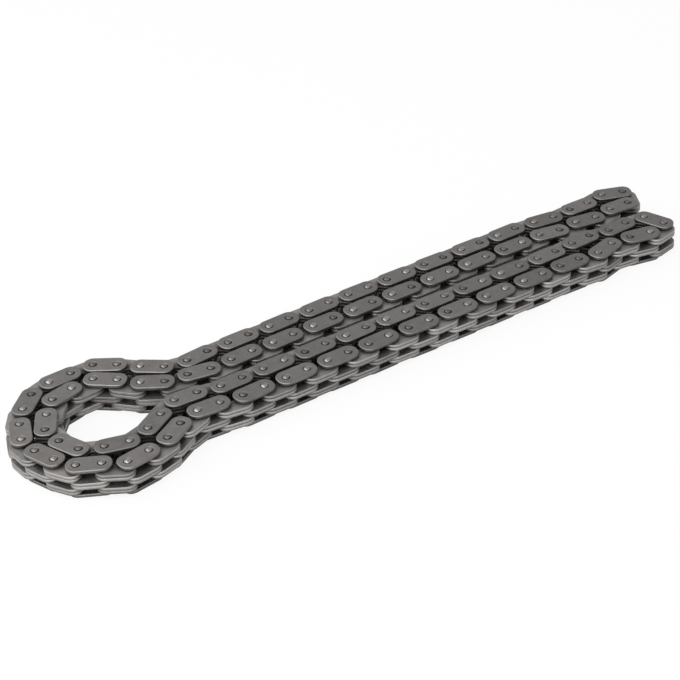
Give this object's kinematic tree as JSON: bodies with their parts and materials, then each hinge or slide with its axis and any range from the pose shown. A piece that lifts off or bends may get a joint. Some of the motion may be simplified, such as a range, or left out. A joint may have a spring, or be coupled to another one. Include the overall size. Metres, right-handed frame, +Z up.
{
  "type": "timing chain",
  "caption": "Endless inverted-tooth steel timing chain lying on its side, folded into a keyhole of nested rings, facing runs and tight end folds.",
  "frame": {"origin": "middle of the box round the chain as it lies, at the plane that the pins' lower ends stand on", "axes": "+X along the straight runs towards the two folded tips, +Y across the runs in the plane that the chain lies in, +Z up along the pins"},
  "size_m": [0.255, 0.0626, 0.0113],
  "materials": {
    "guide_plate": "satin, slightly warm grey stamped steel",
    "toothed_plate": "satin, darker stamped steel with brighter edges",
    "pin": "smooth bright steel"
  },
  "bodies": {
    "outer_ring": {"outer_ring_guide_plates": "guide_plate", "outer_ring_toothed_plates": "toothed_plate", "outer_ring_pins": "pin"},
    "inner_ring": {"inner_ring_guide_plates": "guide_plate", "inner_ring_toothed_plates": "toothed_plate", "inner_ring_pins": "pin"},
    "upper_tip": {"upper_tip_guide_plates": "guide_plate", "upper_tip_toothed_plates": "toothed_plate", "upper_tip_pins": "pin"},
    "lower_tip": {"lower_tip_guide_plates": "guide_plate", "lower_tip_toothed_plates": "toothed_plate", "lower_tip_pins": "pin"},
    "upper_outer_1": {"upper_outer_1_guide_plates": "guide_plate", "upper_outer_1_toothed_plates": "toothed_plate", "upper_outer_1_pins": "pin"},
    "upper_outer_2": {"upper_outer_2_guide_plates": "guide_plate", "upper_outer_2_toothed_plates": "toothed_plate", "upper_outer_2_pins": "pin"},
    "upper_outer_3": {"upper_outer_3_guide_plates": "guide_plate", "upper_outer_3_toothed_plates": "toothed_plate", "upper_outer_3_pins": "pin"},
    "upper_outer_4": {"upper_outer_4_guide_plates": "guide_plate", "upper_outer_4_toothed_plates": "toothed_plate", "upper_outer_4_pins": "pin"},
    "upper_inner_1": {"upper_inner_1_guide_plates": "guide_plate", "upper_inner_1_toothed_plates": "toothed_plate", "upper_inner_1_pins": "pin"},
    "upper_inner_2": {"upper_inner_2_guide_plates": "guide_plate", "upper_inner_2_toothed_plates": "toothed_plate", "upper_inner_2_pins": "pin"},
    "upper_inner_3": {"upper_inner_3_guide_plates": "guide_plate", "upper_inner_3_toothed_plates": "toothed_plate", "upper_inner_3_pins": "pin"},
    "upper_inner_4": {"upper_inner_4_guide_plates": "guide_plate", "upper_inner_4_toothed_plates": "toothed_plate", "upper_inner_4_pins": "pin"},
    "lower_outer_1": {"lower_outer_1_guide_plates": "guide_plate", "lower_outer_1_toothed_plates": "toothed_plate", "lower_outer_1_pins": "pin"},
    "lower_outer_2": {"lower_outer_2_guide_plates": "guide_plate", "lower_outer_2_toothed_plates": "toothed_plate", "lower_outer_2_pins": "pin"},
    "lower_outer_3": {"lower_outer_3_guide_plates": "guide_plate", "lower_outer_3_toothed_plates": "toothed_plate", "lower_outer_3_pins": "pin"},
    "lower_outer_4": {"lower_outer_4_guide_plates": "guide_plate", "lower_outer_4_toothed_plates": "toothed_plate", "lower_outer_4_pins": "pin"},
    "lower_inner_1": {"lower_inner_1_guide_plates": "guide_plate", "lower_inner_1_toothed_plates": "toothed_plate", "lower_inner_1_pins": "pin"},
    "lower_inner_2": {"lower_inner_2_guide_plates": "guide_plate", "lower_inner_2_toothed_plates": "toothed_plate", "lower_inner_2_pins": "pin"},
    "lower_inner_3": {"lower_inner_3_guide_plates": "guide_plate", "lower_inner_3_toothed_plates": "toothed_plate", "lower_inner_3_pins": "pin"},
    "lower_inner_4": {"lower_inner_4_guide_plates": "guide_plate", "lower_inner_4_toothed_plates": "toothed_plate", "lower_inner_4_pins": "pin"}
  },
  "joints": [
    {"name": "upper_outer_1_hinge", "type": "hinge", "parent": "outer_ring", "child": "upper_outer_1", "pos_m": [-0.05205, 0.01051, 0.00562], "axis": [0, 0, 1], "range_deg": [0, 5]},
    {"name": "upper_outer_2_hinge", "type": "hinge", "parent": "upper_outer_1", "child": "upper_outer_2", "pos_m": [-0.02005, 0.01085, 0.00562], "axis": [0, 0, 1], "range_deg": [0, 5]},
    {"name": "upper_outer_3_hinge", "type": "hinge", "parent": "upper_outer_2", "child": "upper_outer_3", "pos_m": [0.01194, 0.01086, 0.00562], "axis": [0, 0, 1], "range_deg": [0, 5]},
    {"name": "upper_outer_4_hinge", "type": "hinge", "parent": "upper_outer_3", "child": "upper_outer_4", "pos_m": [0.04394, 0.01089, 0.00562], "axis": [0, 0, 1], "range_deg": [0, 5]},
    {"name": "upper_tip_hinge", "type": "hinge", "parent": "upper_outer_4", "child": "upper_tip", "pos_m": [0.07593, 0.01125, 0.00562], "axis": [0, 0, 1], "range_deg": [-20, 0]},
    {"name": "upper_inner_4_hinge", "type": "hinge", "parent": "upper_tip", "child": "upper_inner_4", "pos_m": [0.08016, 0.00237, 0.00562], "axis": [0, 0, 1], "range_deg": [0, 20]},
    {"name": "upper_inner_3_hinge", "type": "hinge", "parent": "upper_inner_4", "child": "upper_inner_3", "pos_m": [0.04816, 0.00202, 0.00562], "axis": [0, 0, 1], "range_deg": [-5, 0]},
    {"name": "upper_inner_2_hinge", "type": "hinge", "parent": "upper_inner_3", "child": "upper_inner_2", "pos_m": [0.01617, 0.00198, 0.00562], "axis": [0, 0, 1], "range_deg": [-5, 0]},
    {"name": "upper_inner_1_hinge", "type": "hinge", "parent": "upper_inner_2", "child": "upper_inner_1", "pos_m": [-0.01583, 0.00197, 0.00562], "axis": [0, 0, 1], "range_deg": [-5, 0]},
    {"name": "inner_ring_hinge", "type": "hinge", "parent": "upper_inner_1", "child": "inner_ring", "pos_m": [-0.04782, 0.00163, 0.00562], "axis": [0, 0, 1], "range_deg": [-5, 0]},
    {"name": "lower_outer_1_hinge", "type": "hinge", "parent": "outer_ring", "child": "lower_outer_1", "pos_m": [-0.05468, -0.01806, 0.00562], "axis": [0, 0, 1], "range_deg": [-5, 0]},
    {"name": "lower_outer_2_hinge", "type": "hinge", "parent": "lower_outer_1", "child": "lower_outer_2", "pos_m": [-0.02269, -0.018, 0.00562], "axis": [0, 0, 1], "range_deg": [-5, 0]},
    {"name": "lower_outer_3_hinge", "type": "hinge", "parent": "lower_outer_2", "child": "lower_outer_3", "pos_m": [0.00931, -0.01826, 0.00562], "axis": [0, 0, 1], "range_deg": [-5, 0]},
    {"name": "lower_outer_4_hinge", "type": "hinge", "parent": "lower_outer_3", "child": "lower_outer_4", "pos_m": [0.0413, -0.01851, 0.00562], "axis": [0, 0, 1], "range_deg": [-5, 0]},
    {"name": "lower_tip_hinge", "type": "hinge", "parent": "lower_outer_4", "child": "lower_tip", "pos_m": [0.0733, -0.01843, 0.00562], "axis": [0, 0, 1], "range_deg": [0, 20]},
    {"name": "lower_inner_4_hinge", "type": "hinge", "parent": "lower_tip", "child": "lower_inner_4", "pos_m": [0.07788, -0.00974, 0.00562], "axis": [0, 0, 1], "range_deg": [-20, 0]},
    {"name": "lower_inner_3_hinge", "type": "hinge", "parent": "lower_inner_4", "child": "lower_inner_3", "pos_m": [0.04589, -0.00981, 0.00562], "axis": [0, 0, 1], "range_deg": [0, 5]},
    {"name": "lower_inner_2_hinge", "type": "hinge", "parent": "lower_inner_3", "child": "lower_inner_2", "pos_m": [0.01389, -0.00957, 0.00562], "axis": [0, 0, 1], "range_deg": [0, 5]},
    {"name": "lower_inner_1_hinge", "type": "hinge", "parent": "lower_inner_2", "child": "lower_inner_1", "pos_m": [-0.0181, -0.0093, 0.00562], "axis": [0, 0, 1], "range_deg": [0, 5]}
  ],
  "couplings": [
    {"joint": "upper_outer_2_hinge", "follows": "upper_outer_1_hinge", "ratio": 1},
    {"joint": "upper_outer_3_hinge", "follows": "upper_outer_1_hinge", "ratio": 1},
    {"joint": "upper_outer_4_hinge", "follows": "upper_outer_1_hinge", "ratio": 1},
    {"joint": "upper_tip_hinge", "follows": "upper_outer_1_hinge", "ratio": -4},
    {"joint": "upper_inner_4_hinge", "follows": "upper_outer_1_hinge", "ratio": 4},
    {"joint": "upper_inner_3_hinge", "follows": "upper_outer_1_hinge", "ratio": -1},
    {"joint": "upper_inner_2_hinge", "follows": "upper_outer_1_hinge", "ratio": -1},
    {"joint": "upper_inner_1_hinge", "follows": "upper_outer_1_hinge", "ratio": -1},
    {"joint": "inner_ring_hinge", "follows": "upper_outer_1_hinge", "ratio": -1},
    {"joint": "lower_outer_2_hinge", "follows": "lower_outer_1_hinge", "ratio": 1},
    {"joint": "lower_outer_3_hinge", "follows": "lower_outer_1_hinge", "ratio": 1},
    {"joint": "lower_outer_4_hinge", "follows": "lower_outer_1_hinge", "ratio": 1},
    {"joint": "lower_tip_hinge", "follows": "lower_outer_1_hinge", "ratio": -4},
    {"joint": "lower_inner_4_hinge", "follows": "lower_outer_1_hinge", "ratio": 4},
    {"joint": "lower_inner_3_hinge", "follows": "lower_outer_1_hinge", "ratio": -1},
    {"joint": "lower_inner_2_hinge", "follows": "lower_outer_1_hinge", "ratio": -1},
    {"joint": "lower_inner_1_hinge", "follows": "lower_outer_1_hinge", "ratio": -1}
  ]
}
